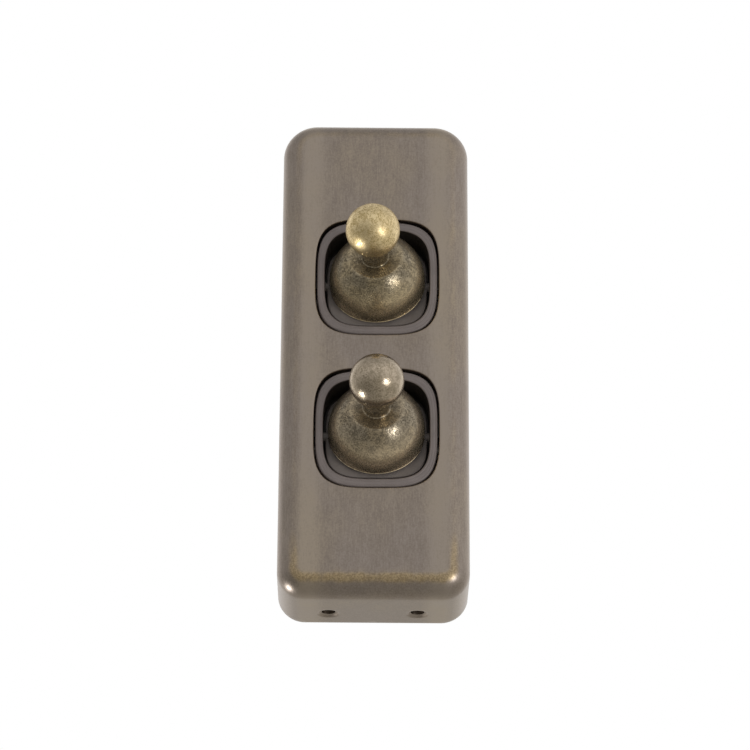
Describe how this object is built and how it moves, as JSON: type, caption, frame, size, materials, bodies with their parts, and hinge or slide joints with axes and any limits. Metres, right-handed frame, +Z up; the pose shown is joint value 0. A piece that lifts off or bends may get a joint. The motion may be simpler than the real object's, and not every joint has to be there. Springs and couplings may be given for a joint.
{
  "type": "toggle wall switch",
  "caption": "Narrow two-gang wall switch: rounded brass cover over a steel base, with ball-ended toggles that tip see-saw contacts.",
  "frame": {"origin": "middle of the mounting base on the wall face", "axes": "+X right as seen from the room, +Y into the wall, +Z up along the plate"},
  "size_m": [0.04, 0.0529, 0.109],
  "materials": {
    "aged_brass_cover": "aged, brushed along its length, worn golden at the lower edge",
    "worn_brass_toggle": "aged and hand-rubbed, mottled, with bright worn spots",
    "rim_plastic": "satin moulded, mauve brown",
    "rotor_plastic": "satin moulded, grey brown",
    "dark_plastic": "moulded, dark brown",
    "zinc_steel": "zinc plated sheet",
    "screw_steel": "plated, slightly dark",
    "spring_steel": "drawn wire",
    "contact_brass": "machined and pressed"
  },
  "bodies": {
    "switch_body": {"cover_plate": "aged_brass_cover", "cover_screw_left": "screw_steel", "cover_screw_right": "screw_steel", "lower_bezel": "rim_plastic", "lower_clamp_screw_left": "screw_steel", "lower_clamp_screw_right": "screw_steel", "lower_common_contact": "contact_brass", "lower_common_terminal": "contact_brass", "lower_common_terminal_screw": "screw_steel", "lower_housing": "dark_plastic", "lower_off_contact": "contact_brass", "lower_off_terminal": "contact_brass", "lower_off_terminal_screw": "screw_steel", "lower_on_contact": "contact_brass", "lower_on_terminal": "contact_brass", "lower_on_terminal_screw": "screw_steel", "lower_rocker_pin": "screw_steel", "mounting_base": "zinc_steel", "upper_bezel": "rim_plastic", "upper_clamp_screw_left": "screw_steel", "upper_clamp_screw_right": "screw_steel", "upper_common_contact": "contact_brass", "upper_common_terminal": "contact_brass", "upper_common_terminal_screw": "screw_steel", "upper_housing": "dark_plastic", "upper_off_contact": "contact_brass", "upper_off_terminal": "contact_brass", "upper_off_terminal_screw": "screw_steel", "upper_on_contact": "contact_brass", "upper_on_terminal": "contact_brass", "upper_on_terminal_screw": "screw_steel", "upper_rocker_pin": "screw_steel", "wall_screw_lower": "screw_steel", "wall_screw_upper": "screw_steel"},
    "upper_toggle": {"upper_dolly": "worn_brass_toggle", "upper_rotor": "rotor_plastic", "upper_plunger": "contact_brass", "upper_plunger_spring": "spring_steel"},
    "upper_rocker": {"upper_rocker_contact": "contact_brass"},
    "lower_toggle": {"lower_dolly": "worn_brass_toggle", "lower_rotor": "rotor_plastic", "lower_plunger": "contact_brass", "lower_plunger_spring": "spring_steel"},
    "lower_rocker": {"lower_rocker_contact": "contact_brass"}
  },
  "joints": [
    {"name": "upper_toggle_hinge", "type": "hinge", "parent": "switch_body", "child": "upper_toggle", "pos_m": [0.00045, -0.0136, 0.01695], "axis": [1, 0, 0], "range_deg": [0, 24]},
    {"name": "upper_rocker_hinge", "type": "hinge", "parent": "switch_body", "child": "upper_rocker", "pos_m": [0.00045, -0.0006, 0.01695], "axis": [1, 0, 0], "range_deg": [-18, 0]},
    {"name": "lower_toggle_hinge", "type": "hinge", "parent": "switch_body", "child": "lower_toggle", "pos_m": [0.00045, -0.0136, -0.01785], "axis": [1, 0, 0], "range_deg": [0, 24]},
    {"name": "lower_rocker_hinge", "type": "hinge", "parent": "switch_body", "child": "lower_rocker", "pos_m": [0.00045, -0.0006, -0.01785], "axis": [1, 0, 0], "range_deg": [-18, 0]}
  ],
  "couplings": [
    {"joint": "upper_rocker_hinge", "follows": "upper_toggle_hinge", "ratio": -0.75},
    {"joint": "lower_rocker_hinge", "follows": "lower_toggle_hinge", "ratio": -0.75}
  ]
}
